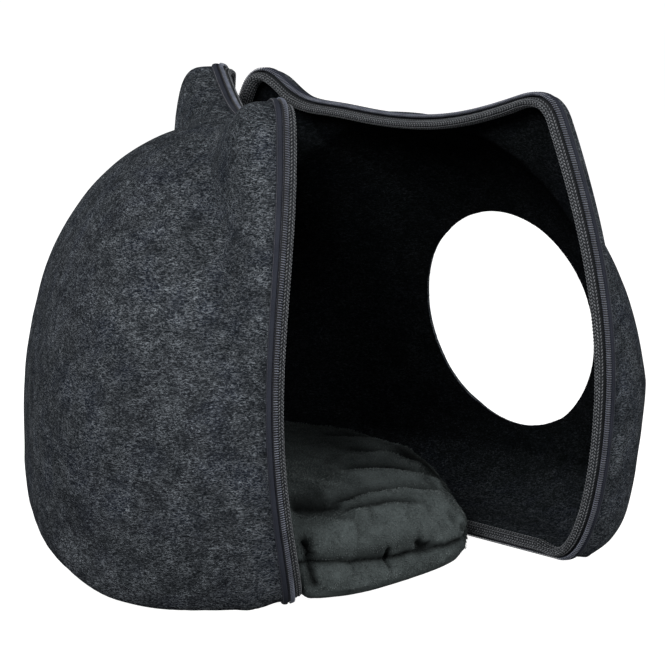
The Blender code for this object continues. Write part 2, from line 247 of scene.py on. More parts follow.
FLOOR_DROP, FLOOR_DROP_START, FLOOR_DROP_RUN = 6.5 * MM, 11.5 * MM, 24.0 * MM

FELT = 4.0 * MM
FELT_START = 5.4 * MM
PROUD_SIDE, PROUD_FLOOR = 3.2 * MM, 2.0 * MM
FLOOR_ENDS, FLOOR_GONE = 4.0 * MM, 34.0 * MM
TAPE_START, TAPE_END = 4.9 * MM, 10.9 * MM
TAPE_BELOW_COIL = 1.0 * MM
SEAT_GAP = 0.3 * MM
BOWL_RINGS = 62
EVEN_RINGS = 0.45
print("felt, mm:", FELT / MM, "and rings from rim to crown:", BOWL_RINGS)


# %% Rays of a rim
class Rays:
    """The rays of the rim, from the valley round by +X, the floor and -X."""

    def __init__(self, bowl):
        half = spread(half_outline() * (1.0, bowl["tall"]), RIM_STEPS // 2)
        mirrored = half[-2:0:-1] * (-1.0, 1.0)
        rim = np.concatenate([half, mirrored])
        for place, rise in ((EAR_FLANK, -bowl["flank sags"]), (EAR_TIP, bowl["tip lifts"])):
            off = (rim[:, 0] - place["across"]) / place["half width"]
            rim[:, 1] += rise * np.exp(-(off**2)) * (rim[:, 1] > UPPER_PART)
        along = rim - (0.0, RAY_CENTRE_UP)
        self.reach = np.hypot(along[:, 0], along[:, 1])
        self.direction = along / self.reach[:, None]
        self.upward = self.direction[:, 1] > 0.0
        legs = np.roll(rim, -1, axis=0) - rim
        normal = np.stack([-legs[:, 1], legs[:, 0]], axis=1)
        normal /= np.hypot(legs[:, 0], legs[:, 1])[:, None]
        both = (normal, np.roll(normal, 1, axis=0))
        self.lean = np.minimum(*(np.abs((way * self.direction).sum(axis=1)) for way in both))
        near_floor = 1.0 - smoothstep((rim[:, 1] - FLOOR_ENDS) / (FLOOR_GONE - FLOOR_ENDS))
        self.felt_inset = PROUD_SIDE + (PROUD_FLOOR - PROUD_SIDE) * near_floor
        self.tape_inset = TAPE_BELOW_COIL * (1.0 - near_floor)
        self.bowl = bowl

    def at(self, radius):
        return radius * self.direction[:, 0], RAY_CENTRE_UP + radius * self.direction[:, 1]

    def point(self, inset):
        """The point of each ray that lies this far inward of the rim line."""
        across, up = self.at(self.reach - inset / self.lean)
        return across, np.maximum(up, 0.0)


# %% How the closed zip and the hinge draw a rim
def to_meeting(rays):
    """How far each point of a rim is from meeting the other, and how far it is drawn there."""
    across, up = rays.at(rays.reach)
    top, heel = (
        smoothstep((across - zipped["ends"]) / (zipped["full"] - zipped["ends"]))
        for zipped in (ZIPPED_TOP, ZIPPED_HEEL)
    )
    drawn_in = np.where(up > UPPER_PART, top, heel)
    apart = (HALF_WIDTH - across) * math.tan(OPEN_ANGLE / 2)
    return apart * (1.0 - drawn_in), apart * drawn_in


def drawn(rays, deep):
    """How deep points lie once the rim's free side is drawn back and its hinge side forward."""
    bowl = rays.bowl
    across, up = rays.at(rays.reach)
    height = np.clip(up / TOP_HEIGHT, 0.0, 1.0) ** BOW_HEIGHT_POWER
    side = np.clip(-across / HALF_WIDTH, 0.0, 1.0) ** BOW_SIDE_POWER
    back = bowl["bow"] * np.sin(math.pi * height) ** BOW_ROUNDNESS * side
    _, forward = to_meeting(rays)
    return deep + (back - forward) * (1.0 - deep / bowl["depth"])


# %% From a bowl's own frame to the cave's
BACK_PLACE = Matrix.Translation((0.0, BACK_RIM_Y, 0.0))
HINGE = Matrix.Translation((HALF_WIDTH, BACK_RIM_Y, 0.0)) @ Matrix.Rotation(OPEN_ANGLE, 4, "Z")
FRONT_PLACE = HINGE @ Matrix.Translation((-HALF_WIDTH, 0.0, 0.0))
SIDES = {
    "back": {"rays": Rays(BACK_BOWL), "place": BACK_PLACE},
    "front": {"rays": Rays(FRONT_BOWL), "place": FRONT_PLACE},
}


def placed(side, across, up, deep):
    """Points given by across, up and how deep they lie behind the rim, in the cave's frame."""
    way = side["rays"].bowl["way"]
    own = np.stack(np.broadcast_arrays(across, way * deep, up), axis=-1)
    turn = np.array(side["place"].to_3x3())
    return own @ turn.T + np.array(side["place"].translation)


def rings_round(side, profile):
    """One ring of points round the rim for each (inset, deep) pair."""
    rays = side["rays"]
    return [placed(side, *rays.point(inset), drawn(rays, deep)) for inset, deep in profile]


def ring_mesh(name, rings, crown=None):
    """Quads between rings of points. A crown closes the last ring, or else it joins the first."""
    shape = bmesh.new()
    lines = [[shape.verts.new(point) for point in ring] for ring in rings]
    count = len(lines[0])
    following = lines[1:] if crown is not None else lines[1:] + lines[:1]
    for ring, inner in zip(lines, following):
        for k in range(count):
            after = (k + 1) % count
            shape.faces.new((ring[k], ring[after], inner[after], inner[k]))
    if crown is not None:
        last, tip = lines[-1], shape.verts.new(crown)
        for k in range(count):
            shape.faces.new((last[k], last[(k + 1) % count], tip))
    bmesh.ops.recalc_face_normals(shape, faces=shape.faces)
    if crown is not None:
        middle = sum((vertex.co for vertex in shape.verts), Vector()) / len(shape.verts)
        outward = sum((f.calc_center_median() - middle).dot(f.normal) for f in shape.faces)
        if outward < 0.0:
            bmesh.ops.reverse_faces(shape, faces=shape.faces)
    mesh = bpy.data.meshes.new(name)
    shape.to_mesh(mesh)
    shape.free()
    mesh.shade_smooth()
    return mesh


print("front bowl's frame starts at", [round(v, 3) for v in FRONT_PLACE.translation])

# %% [markdown]
# ## Felt, as a material
#
# The bowls are needled polyester felt about 4 mm thick: grey, blue-black and black fibres, mixed
# and pressed hot into shape. Close up it is a tangle of short curved fibres that run mostly level,
# some pale and some nearly black, and from further away soft clouds of lighter and darker grey.
# The pattern is made of Noise: where a noise passes through its middle value it draws thin curling
# lines, which look like single fibres. The felt has no gloss at all, because even a little hazes
# it over where it is seen edge on.


# %% Material helpers
def new_material(name, **look):
    """A material with its Principled shader's own sockets set."""
    material = bpy.data.materials.new(name)
    material.use_nodes = True
    tree = material.node_tree
    shader = tree.nodes["Principled BSDF"]
    for socket, value in look.items():
        shader.inputs[socket.replace("_", " ").title().replace("Ior", "IOR")].default_value = value
    return material, tree, shader


def own_space(tree):
    return add_node(tree, "ShaderNodeTexCoord").outputs["Object"]


def noise_at(tree, where, size_mm, detail=2.0, roughness=0.5, distortion=0.0):
    """A noise whose lumps are about this many millimetres apart. It gives the socket."""
    inputs = {"Vector": where, "Scale": 1.0 / (size_mm * MM), "Detail": detail}
    inputs |= {"Roughness": roughness, "Distortion": distortion}
    return add_node(tree, "ShaderNodeTexNoise", inputs).outputs["Fac"]


def mix_colours(tree, share, first, second, blend="MIX"):
    node = add_node(tree, "ShaderNodeMix", data_type="RGBA", blend_type=blend)
    for key, value in (("Factor_Float", share), ("A_Color", first), ("B_Color", second)):
        socket = next(s for s in node.inputs if s.identifier == key)
        if isinstance(value, bpy.types.NodeSocket):
            tree.links.new(value, socket)
        else:
            socket.default_value = value
    return next(s for s in node.outputs if s.identifier == "Result_Color")


def finish_with(tree, shader, colour, height=None, strength=0.5, distance=0.5 * MM):
    """Links the colour to the shader, and a height as fine bumps."""
    tree.links.new(colour, shader.inputs["Base Color"])
    if height is not None:
        inputs = {"Height": height, "Strength": strength, "Distance": distance}
        bump = add_node(tree, "ShaderNodeBump", inputs)
        tree.links.new(bump.outputs["Normal"], shader.inputs["Normal"])


# %% Felt material
FIBRE_WIDE_MM, FIBRE_TALL_MM = 4.8, 1.4
FIBRES = {
    # which: its size against the pale ones, half width of its line, how far it covers
    "pale":  (1.0, 0.055, 1.0),
    "dark":  (1.2, 0.06, 0.7),
}
FIBRE_DETAIL, FIBRE_ROUGHNESS, FIBRE_CURL = 1.5, 0.55, 0.8
FELT_PATTERNS = {
    # what:  mm wide, mm tall, detail, roughness, distortion
    "fleck": (2.2, 1.05, 2.0, 0.7, 0.5),
    "clump": (8.0, 4.5, 2.0, 0.6, 0.4),
    "cloud": (15.0, 15.0, 3.0, 0.6, 0.5),
    "drift": (30.0, 20.0, 3.0, 0.6, 0.8),
    "dye": (34.0, 34.0, 2.0, 0.5, 0.0),
}
FELT_SHARES = {
    # what: pattern, its values from and to, shares from and to
    "blue in base": ("dye", 0.45, 0.7, 0.0, 1.0),
    "base over dark": ("fleck", 0.3, 0.66, 0.0, 1.0),
    "pale flecks": ("fleck", 0.55, 0.74, 0.0, 0.55),
    "pale fibres": ("cloud", 0.32, 0.68, 0.12, 1.0),
    "dark clumps": ("clump", 0.3, 0.7, 0.0, 0.34),
    "dark drifts": ("drift", 0.36, 0.66, 0.0, 0.42),
}
FIBRE_BUMP_SHARE = 0.6
PAINTED_FLOOR_LIGHT_HEIGHTS = (2.0 * MM, 40.0 * MM)


def curling_lines(tree, where, size_mm, width, most):
    """Thin lines that curl like loose fibres: most on a line, and 0 away from it."""
    value = noise_at(tree, where, size_mm, FIBRE_DETAIL, FIBRE_ROUGHNESS, FIBRE_CURL)
    away = maths(tree, "ABSOLUTE", maths(tree, "SUBTRACT", value, 0.5))
    return map_range(tree, away, 0.0, width, most, 0.0)


def felt_material(name, tones, pale_share, painted_floor_light=1.0):
    """Melange felt. The last value is how many times lighter it is near the floor: painted light.
    """
    material, tree, shader = new_material(name, roughness=1.0, specular_ior_level=0.0)
    where = own_space(tree)
    base, blue, dark, pale = (srgb(tones[tone]) for tone in ("base", "blue", "dark", "pale"))

    def lying(wide, tall, **moved):
        """Coordinates in which a pattern comes out wider than it is tall, as the fibres lie."""
        inputs = {"Vector": where, "Scale": (1.0, 1.0, wide / tall)} | moved
        return add_node(tree, "ShaderNodeMapping", inputs).outputs["Vector"]

    def fibres(which, **moved):
        size, width, most = FIBRES[which]
        space = lying(FIBRE_WIDE_MM, FIBRE_TALL_MM, **moved)
        return curling_lines(tree, space, FIBRE_WIDE_MM * size, width, most)

    patterns = {
        key: noise_at(tree, lying(wide, tall), wide, *look)
        for key, (wide, tall, *look) in FELT_PATTERNS.items()
    }
    shares = {
        key: map_range(tree, patterns[pattern], *ends)
        for key, (pattern, *ends) in FELT_SHARES.items()
    }
    pale_fibres = fibres("pale")
    dark_fibres = fibres("dark", Location=(0.31, 0.17, 0.53), Rotation=(0.4, 0.5, 0.3))
    coverage = maths(tree, "MULTIPLY", shares["pale fibres"], pale_share)
    colour = mix_colours(tree, shares["blue in base"], base, blue)
    colour = mix_colours(tree, shares["base over dark"], dark, colour)
    for share, tone in (
        (shares["pale flecks"], pale),
        (maths(tree, "MULTIPLY", pale_fibres, coverage), pale),
        (dark_fibres, dark),
        (shares["dark clumps"], dark),
        (shares["dark drifts"], dark),
    ):
        colour = mix_colours(tree, share, colour, tone)
    # Painted light: the felt is made lighter near the floor, as if light fell on it there.
    up = add_node(tree, "ShaderNodeSeparateXYZ", {0: where}).outputs["Z"]
    near_floor = map_range(tree, up, *PAINTED_FLOOR_LIGHT_HEIGHTS, 1.0, 0.0)
    colour = mix_colours(tree, near_floor, colour, (painted_floor_light, painted_floor_light, painted_floor_light, 1.0), "MULTIPLY")
    fibre_height = maths(tree, "MULTIPLY", pale_fibres, FIBRE_BUMP_SHARE)
    finish_with(tree, shader, colour, maths(tree, "ADD", fibre_height, patterns["fleck"]))
    return material


OUTSIDE_TONES = {"dark": "0d0f11", "base": "303337", "blue": "2a2e38", "pale": "858b91"}
# The inner face's tones are far darker: painted shade for the cave's unlit inside.
INSIDE_PAINTED_SHADE_TONES = {"dark": "030404", "base": "0d0e10", "blue": "0c0d12", "pale": "2d3033"}
felt_outside = felt_material("needled_felt_charcoal_melange", OUTSIDE_TONES, 0.75)
felt_inside_painted_shade = felt_material("needled_felt_inner_painted_shade", INSIDE_PAINTED_SHADE_TONES, 0.5, painted_floor_light=4.5)
print("felt fibres drawn about", FIBRE_TALL_MM, "mm apart")

# %% [markdown]
# ## The two felt bowls
#
# A bowl is moulded from one sheet, so it is made as one: rings of points run from the rim back to
# the crown, each a rounded box seen along a ray, and the ears stand out of that dome and sink into
# it. The sheet gets soft hand-pressed lumps, since moulded felt is never quite true, and Solidify
# gives it its real thickness. The inner face gets a much darker felt as painted shade, and painted
# light makes it lighter near the floor.


# %% Bowl surface
def dome_reach(rays):
    """How far the bowl reaches along each ray, leaving out the ears, and with them."""
    rise = VALLEY_HEIGHT - RAY_CENTRE_UP - PROUD_SIDE
    across = np.abs(rays.direction[:, 0]) / HALF_WIDTH + 1e-9
    up = np.maximum(rays.direction[:, 1], 0.0) / rise
    dome = (across**DOME_ROUNDNESS + up**DOME_ROUNDNESS) ** (-1.0 / DOME_ROUNDNESS)
    felt = rays.reach - rays.felt_inset / rays.lean
    return np.where(rays.upward, np.minimum(dome, felt), felt), felt


def box_shares(rays, dome, tall):
    """Which part of each ray's reach is towards the side, and which towards the top or floor."""
    across = dome * np.abs(rays.direction[:, 0]) / HALF_WIDTH
    half_tall = np.where(rays.upward, VALLEY_HEIGHT - RAY_CENTRE_UP, RAY_CENTRE_UP)
    up = dome * np.abs(rays.direction[:, 1]) / half_tall
    level = (across**tall + up**tall) ** (1.0 / tall)
    return across / level, up / level


def ear_height(ear, deep, bowl):
    """How far an ear stands out of the dome. It sinks into it with depth, first at its foot."""
    sunk = EAR_FULL_HEIGHT * (np.maximum(deep - TAPE_END, 0.0) / bowl["ear depth"]) ** EAR_STEEPNESS
    left = ear - sunk
    soft = np.minimum(EAR_SOFTNESS, sunk)
    return 0.5 * (left + np.sqrt(left**2 + soft**2))


def bowl_rings(side):
    """Rings of points from the rim to the back of the bowl, without the last point."""
    rays = side["rays"]
    bowl = rays.bowl
    dome, felt = dome_reach(rays)
    tall = np.where(rays.upward, bowl["top"], bowl["floor"])
    sideways, upright = box_shares(rays, dome, tall)
    square = bowl["side"]
    rings = [placed(side, *rays.at(felt), drawn(rays, FELT_START))]
    for step in np.arange(BOWL_RINGS) / BOWL_RINGS:
        turn = (EVEN_RINGS * step + (1.0 - EVEN_RINGS) * step**3) * math.pi / 2
        inward, back = math.cos(turn), math.sin(turn)
        level = (back**square + (inward * sideways) ** square) ** (tall / square)
        size = (level + (inward * upright) ** tall) ** (1.0 / tall)
        deep = TAPE_END + (bowl["depth"] - TAPE_END) * back / size
        radius = inward / size * dome + ear_height(felt - dome, deep, bowl)
        across, up = rays.at(radius)
        drop = FLOOR_DROP * smoothstep((deep - FLOOR_DROP_START) / FLOOR_DROP_RUN)
        up = np.maximum(up - drop * (rays.direction[:, 1] < 0.0) * upright**2, 0.0)
        rings.append(placed(side, across, up, drawn(rays, deep)))
    return rings


# %% Soft lumps
LUMPS = (
    # apart, height
    (70.0 * MM, 0.9 * MM),
    (22.0 * MM, 0.35 * MM),
)
LUMPS_START, LUMPS_FULL = 12.0 * MM, 40.0 * MM
FLAT_BELOW = 6.0 * MM


def add_lumps(mesh, side):
    """Moves each point along its normal, but not at the rim, and not down into the floor."""
    way = side["rays"].bowl["way"]
    to_own = side["place"].inverted()
    normals = [vertex.normal.copy() for vertex in mesh.vertices]
    for vertex, normal in zip(mesh.vertices, normals):
        deep = way * (to_own @ vertex.co).y
        share = float(smoothstep((deep - LUMPS_START) / (LUMPS_FULL - LUMPS_START)))
        share *= min(1.0, vertex.co.z / FLAT_BELOW)
        rise = sum(height * noise.noise(vertex.co / apart) for apart, height in LUMPS)
        vertex.co += normal * rise * share


# %% Entrance hole
SNAP_TO_HOLE = 1.0 * MM


def punch_hole(mesh, side):
    """Cuts the sheet along the hole's circle, and takes out what lies inside it."""
    shape = bmesh.new()
    shape.from_mesh(mesh)
    own = side["place"]
    to_own = own.inverted()
    radius = HOLE_DIAMETER / 2

    def from_circle(point):
        """How far a point lies outside the circle. It is negative inside."""
        local = to_own @ point
        return math.hypot(local.x, local.z - HOLE_UP) - radius

    def onto_circle(vertex):
        local = to_own @ vertex.co
        flat = Vector((local.x, local.z - HOLE_UP)).normalized() * radius
        vertex.co = own @ Vector((flat.x, local.y, flat.y + HOLE_UP))

    in_front = [v for v in shape.verts if -(to_own @ v.co).y > FRONT_BOWL["depth"] / 2]
    away = {vertex: from_circle(vertex.co) for vertex in in_front}
    cut = {vertex for vertex, off in away.items() if abs(off) < SNAP_TO_HOLE}
    for edge in [e for e in shape.edges if all(v in away and v not in cut for v in e.verts)]:
        first, last = edge.verts
        if away[first] * away[last] < 0.0:
            part = away[first] / (away[first] - away[last])
            cut.add(bmesh.utils.edge_split(edge, first, part)[1])
    for face in {face for vertex in cut for face in vertex.link_faces}:
        ends = [vertex for vertex in face.verts if vertex in cut]
        beside = any(set(edge.verts) == set(ends) for edge in face.edges)
        if len(ends) == 2 and not beside:
            bmesh.utils.face_split(face, *ends)
    inside = [v for v, off in away.items() if off < 0.0 and v not in cut]
    bmesh.ops.delete(shape, geom=inside, context="VERTS")
    for vertex in cut:
        if vertex.is_valid:
            onto_circle(vertex)
    shape.to_mesh(mesh)
    shape.free()
    print("hole cut through", len(cut), "points on its circle")


# %% Felt sheets
SHARP_EDGE = math.radians(50.0)


def felt_sheet(label, side):
    """The bowl's felt, with its thickness, and how many square metres of sheet it takes."""
    bowl = side["rays"].bowl
    crown = placed(side, 0.0, RAY_CENTRE_UP, bowl["depth"])
    mesh = ring_mesh(f"{label}_felt", bowl_rings(side), crown)
    add_lumps(mesh, side)
    if label == "front":
        punch_hole(mesh, side)
    area = sum(face.area for face in mesh.polygons)
    felt = link(bpy.data.objects.new(f"{label}_felt", mesh))
    mesh.materials.append(felt_outside)
    mesh.materials.append(felt_inside_painted_shade)
    wall = felt.modifiers.new("felt thickness", "SOLIDIFY")
    wall.thickness = FELT
    wall.offset = -1.0
    wall.use_even_offset = True
    wall.material_offset = 1
    wall.material_offset_rim = 0
    bake_modifiers(felt)
    felt.data.set_sharp_from_angle(angle=SHARP_EDGE)
    return felt, area


for label, side in SIDES.items():
    side["felt"], side["area"] = felt_sheet(label, side)
    tell(side["felt"])
print("felt area, square metres:", [round(side["area"], 4) for side in SIDES.values()])

# %% [markdown]
# ## The zip
#
# The zip runs all round both rims. On each rim there is a folded tape, sewn to the felt, and along
# the tape's edge the coil: one nylon thread wound into loops, with a filler cord through them. The
# tape and the cord are strips swept round the rim. The loops are made by Geometry Nodes: the tree
# walks along the rim line, sets one bent loop at each pitch, and turns it to the rim.

# %% Zip and binding materials
WEAVE_MM, TAPE_WEAR_MM, THREAD_TONE_MM, KNIT_TONE_MM = 1.1, 26.0, 9.0, 2.6
# The noise values from which and to which a tone fades in, and the wear's shares there.
TONES_MEET = (0.3, 0.7)
TAPE_WEAR = (0.35, 0.75, 0.0, 0.5)


def dyed(name, low, high, grain_mm, grain_roughness=0.5, **look):
    """A finish that drifts between two tones, and the nodes that more can be added to."""
    material, tree, shader = new_material(name, **look)
    grain = noise_at(tree, own_space(tree), grain_mm, 2.0, grain_roughness)
    colour = mix_colours(tree, map_range(tree, grain, *TONES_MEET), srgb(low), srgb(high))
    finish_with(tree, shader, colour)
    return material, tree, shader, grain, colour


def tape_material():
    """Woven polyester tape: fine ribs across it, smooth on the fold, worn a little paler."""
    look = {"roughness": 0.8, "specular_ior_level": 0.05}
    made = dyed("woven_polyester_zip_tape", "191b21", "22242b", WEAVE_MM, 0.6, **look)
    material, tree, shader, weave, ground = made
    wear = map_range(tree, noise_at(tree, own_space(tree), TAPE_WEAR_MM), *TAPE_WEAR)
    colour = mix_colours(tree, wear, ground, srgb("292b33"))
    finish_with(tree, shader, colour, weave, strength=0.35, distance=0.2 * MM)
    return material


def nylon(name, low, high, roughness):
    """Nylon monofilament or thread, dyed navy-black: smooth, with small bright highlights."""
    return dyed(name, low, high, THREAD_TONE_MM, roughness=roughness, ior=1.53)[0]


def ribbon(name, low, high, roughness):
    """Knitted polyester ribbon: grey and soft."""
    look = {"roughness": roughness, "specular_ior_level": 0.1}
    return dyed(name, low, high, KNIT_TONE_MM, 0.6, **look)[0]


zip_tape_finish = tape_material()
coil_finish = nylon("nylon_coil_navy", "373a46", "565a65", 0.45)
cord_finish = nylon("spun_cord_in_coil", "030305", "08080c", 0.9)
thread_finish = nylon("bonded_sewing_thread", "12131a", "1d1f29", 0.5)
ribbon_ground = ribbon("knit_ribbon_ground", "151618", "222426", 0.9)
ribbon_yarn = ribbon("knit_ribbon_yarn", "404245", "66686b", 0.7)
print("tape weave drawn at", WEAVE_MM, "mm")


# %% Strips round a rim
def rounded(profile, steps):
    """A closed profile of (inset, deep) pairs, drawn through again as a smooth curve."""
    count = len(profile)
    smooth = []
    for k in range(count):
        near = [profile[(k + j) % count] for j in (-1, 0, 1, 2)]
        for part in np.arange(steps) / steps:
            weights = (
                -0.5 * part + part**2 - 0.5 * part**3,
                1.0 - 2.5 * part**2 + 1.5 * part**3,
                0.5 * part + 2.0 * part**2 - 1.5 * part**3,
                -0.5 * part**2 + 0.5 * part**3,
            )
            pair = [sum(w * point[axis] for w, point in zip(weights, near)) for axis in (0, 1)]
            smooth.append(pair)
    return smooth


def rim_strip(name, side, profile, finish):
    """A strip swept round the rim. The profile is a closed list of (inset, deep) pairs."""
    mesh = ring_mesh(name, rings_round(side, profile))
    mesh.materials.append(finish)
    strip = link(bpy.data.objects.new(name, mesh))
    tell(strip)
    return strip


# %% Zip tapes
TAPE_LEDGE = {"wide": 1.2 * MM, "drop": 1.5 * MM}
TAPE_SWELL = 0.35 * MM


def tape_profile(rays):
    """A sunk ledge beside the coil, then the fold, which swells a little."""
    top = rays.tape_inset
    under = rays.felt_inset - SEAT_GAP
    middle = (TAPE_START + TAPE_END) / 2
    ledge = top + TAPE_LEDGE["drop"]
    fold = TAPE_START + TAPE_LEDGE["wide"]
    return [
        (ledge, TAPE_START),
        (ledge, fold),
        (top + 0.2 * MM, fold + 0.35 * MM),
        (top - TAPE_SWELL * 0.7, fold + 1.1 * MM),
        (top - TAPE_SWELL, middle + 0.8 * MM),
        (top - TAPE_SWELL * 0.6, TAPE_END - 1.2 * MM),
        (top + 0.25 * MM, TAPE_END - 0.5 * MM),
        (top + 0.9 * MM, TAPE_END),
        (under, TAPE_END - 0.1 * MM),
        (under, middle),
        (under, TAPE_START + 0.1 * MM),
    ]


for label, side in SIDES.items():
    profile = rounded(tape_profile(side["rays"]), steps=2)
    side["tape"] = rim_strip(f"{label}_zip_tape", side, profile, zip_tape_finish)


# %% Lines for repeats to follow
def lines_mesh(name, rings):
    """Closed lines, one along each ring of points."""
    points, edges = [], []
    for ring in rings:
        first = len(points)
        points += [tuple(point) for point in ring]
        edges += [(first + k, first + (k + 1) % len(ring)) for k in range(len(ring))]
    mesh = bpy.data.meshes.new(name)
    mesh.from_pydata(points, edges, [])
    return mesh


def deep_direction(side):
    """The way into the bowl from its rim, in the cave's frame."""
    return side["place"].to_3x3() @ Vector((0.0, side["rays"].bowl["way"], 0.0))


# %% Steps that the repeating trees share
def new_tree(name, floats, vectors=(), ints=()):
    """A Geometry Nodes tree with named inputs, and the sockets that they come in by."""
    tree = bpy.data.node_groups.new(name, "GeometryNodeTree")
    tree.interface.new_socket("Geometry", in_out="OUTPUT", socket_type="NodeSocketGeometry")
    kinds = {"Geometry": "Geometry"} | dict.fromkeys(floats, "Float")
    kinds |= dict.fromkeys(vectors, "Vector") | dict.fromkeys(ints, "Int")
    for label, kind in (kinds | {"Material": "Material"}).items():
        tree.interface.new_socket(label, in_out="INPUT", socket_type="NodeSocket" + kind)
    return tree, tree.nodes.new("NodeGroupInput").outputs


def vector(tree, **parts):
    """A vector made of those of X, Y and Z that are given."""
    return add_node(tree, "ShaderNodeCombineXYZ", parts).outputs[0]


def added(tree, first, second):
    inputs = {0: first, 1: second}
    return add_node(tree, "ShaderNodeVectorMath", inputs, operation="ADD").outputs[0]


def scaled(tree, value, factor):
    inputs = {0: value, "Scale": factor}
    return add_node(tree, "ShaderNodeVectorMath", inputs, operation="SCALE").outputs[0]


def walk_lines(tree, values):
    """Points one pitch apart along the lines, and the way that the lines run."""
    line = add_node(tree, "GeometryNodeMeshToCurve", {"Mesh": values["Geometry"]}).outputs[0]
    inputs = {"Curve": line, "Length": values["Pitch"]}
    points = add_node(tree, "GeometryNodeResampleCurve", inputs, mode="LENGTH").outputs[0]
    return points, add_node(tree, "GeometryNodeInputTangent").outputs[0]


def turned(tree, axis, way, other_axis, other_way):
    """A rotation that points one local axis along a way, and another as near as it can."""
    inputs = {"Primary Axis": way, "Secondary Axis": other_way}
    settings = {"primary_axis": axis, "secondary_axis": other_axis}
    return add_node(tree, "FunctionNodeAxesToRotation", inputs, **settings).outputs[0]


def bent_thread(tree, values, corners, steps, sides, fatness=1.0):
    """A thread along a bend that is given by its start, middle and end."""
    inputs = {"Resolution": steps} | dict(zip(("Start", "Middle", "End"), corners))
    bend = add_node(tree, "GeometryNodeCurveQuadraticBezier", inputs).outputs[0]
    inputs = {"Resolution": sides, "Radius": values["Thread radius"]}
    section = add_node(tree, "GeometryNodeCurvePrimitiveCircle", inputs).outputs[0]
    inputs = {"Curve": bend, "Profile Curve": section, "Scale": fatness, "Fill Caps": True}
    return add_node(tree, "GeometryNodeCurveToMesh", inputs).outputs[0]


def set_out(tree, values, points, piece, turn, size=(1.0, 1.0, 1.0)):
    """Sets the piece on every point, makes the copies real and gives them their material."""
    inputs = {"Points": points, "Instance": piece, "Rotation": turn, "Scale": size}
    copies = add_node(tree, "GeometryNodeInstanceOnPoints", inputs).outputs[0]
    real = add_node(tree, "GeometryNodeRealizeInstances", {"Geometry": copies}).outputs[0]
    inputs = {"Geometry": real, "Material": values["Material"]}
    finished = add_node(tree, "GeometryNodeSetMaterial", inputs).outputs[0]
    smooth = add_node(tree, "GeometryNodeSetShadeSmooth", {"Geometry": finished}).outputs[0]
    tree.links.new(smooth, tree.nodes.new("NodeGroupOutput").inputs[0])
    return tree


def grown(name, mesh, tree, values):
    """Runs a Geometry Nodes tree on a mesh and keeps the result as a plain mesh."""
    obj = link(bpy.data.objects.new(name, mesh))
    modifier = obj.modifiers.new(tree.name, "NODES")
    modifier.node_group = tree
    for socket in tree.interface.items_tree:
        if socket.in_out == "INPUT" and socket.name in values:
            modifier[socket.identifier] = values[socket.name]
    bake_modifiers(obj)
    tell(obj)
    return obj


# %% Tree: loops of the coil
LOOP_WAIST = -0.92
LOOP_MIDDLE_LEAN = 0.6
LOOP_FATNESS = (1.3, 0.85)


def coil_tree():
    """Local axes of a loop: X is outward from the rim, Y is deep, Z runs along the rim."""
    floats = ("Pitch", "Thread radius", "Loop depth", "Loop height", "Lean")
    tree, values = new_tree("coil loops", floats, vectors=("Deep direction",))
    points, tangent = walk_lines(tree, values)
    turn = turned(tree, "Z", tangent, "Y", values["Deep direction"])
    half = maths(tree, "MULTIPLY", values["Loop height"], 0.5)
    other_half = maths(tree, "MULTIPLY", half, -1.0)
    deep, lean = values["Loop depth"], values["Lean"]
    waist = maths(tree, "MULTIPLY", deep, LOOP_WAIST)
    corners = (
        vector(tree, X=half, Y=deep, Z=maths(tree, "MULTIPLY", lean, -1.0)),
        vector(tree, Y=waist, Z=maths(tree, "MULTIPLY", lean, LOOP_MIDDLE_LEAN)),
        vector(tree, X=other_half, Y=deep, Z=lean),
    )
    along = add_node(tree, "GeometryNodeSplineParameter").outputs["Factor"]
    off_middle = maths(tree, "ABSOLUTE", maths(tree, "SUBTRACT", along, 0.5))
    fatness = map_range(tree, off_middle, 0.0, 0.5, *LOOP_FATNESS)
    thread = bent_thread(tree, values, corners, steps=6, sides=5, fatness=fatness)
    return set_out(tree, values, points, thread, turn)


# %% Coils and their cords
COIL_TRACK = (2.15 * MM, 0.55 * MM)
COIL = {
    "Pitch": 1.95 * MM,
    "Thread radius": 0.35 * MM,
    "Loop depth": 3.7 * MM,
    "Loop height": 3.5 * MM,
    "Lean": 0.45 * MM,
    "Material": coil_finish,
}
CORD_PROFILE = [
    (1.8 * MM, 1.9 * MM),
    (1.8 * MM, 4.5 * MM),
    (3.4 * MM, 4.5 * MM),
    (3.4 * MM, 1.9 * MM),
]
coil_loops = coil_tree()
for label, side in SIDES.items():
    line = lines_mesh("coil line", rings_round(side, [COIL_TRACK]))
    look = COIL | {"Deep direction": deep_direction(side)}
    side["coil"] = grown(f"{label}_zip_coil", line, coil_loops, look)
    profile = rounded(CORD_PROFILE, steps=3)
    side["cord"] = rim_strip(f"{label}_coil_cord", side, profile, cord_finish)

# %% [markdown]
# ## Stitches
#
# A lockstitch sews the tape down along the middle of its ledge and along its outer edge. Each
# stitch shows as a short bent length of thread between two needle holes. One tree sets a stitch
# every three millimetres on any line.


# %% Tree: stitches on a line
def stitch_tree():
    """Local axes of a stitch: Z runs along the line, X stands off the surface."""
    floats = ("Pitch", "Stitch length", "Thread radius")
    tree, values = new_tree("stitches", floats, vectors=("Deep direction",))
    points, tangent = walk_lines(tree, values)
    turn = turned(tree, "Z", tangent, "Y", values["Deep direction"])
    half = maths(tree, "MULTIPLY", values["Stitch length"], 0.5)
    corners = (
        vector(tree, Z=maths(tree, "MULTIPLY", half, -1.0)),
        vector(tree, X=values["Thread radius"]),
        vector(tree, Z=half),
    )
    thread = bent_thread(tree, values, corners, steps=3, sides=4)
    return set_out(tree, values, points, thread, turn)


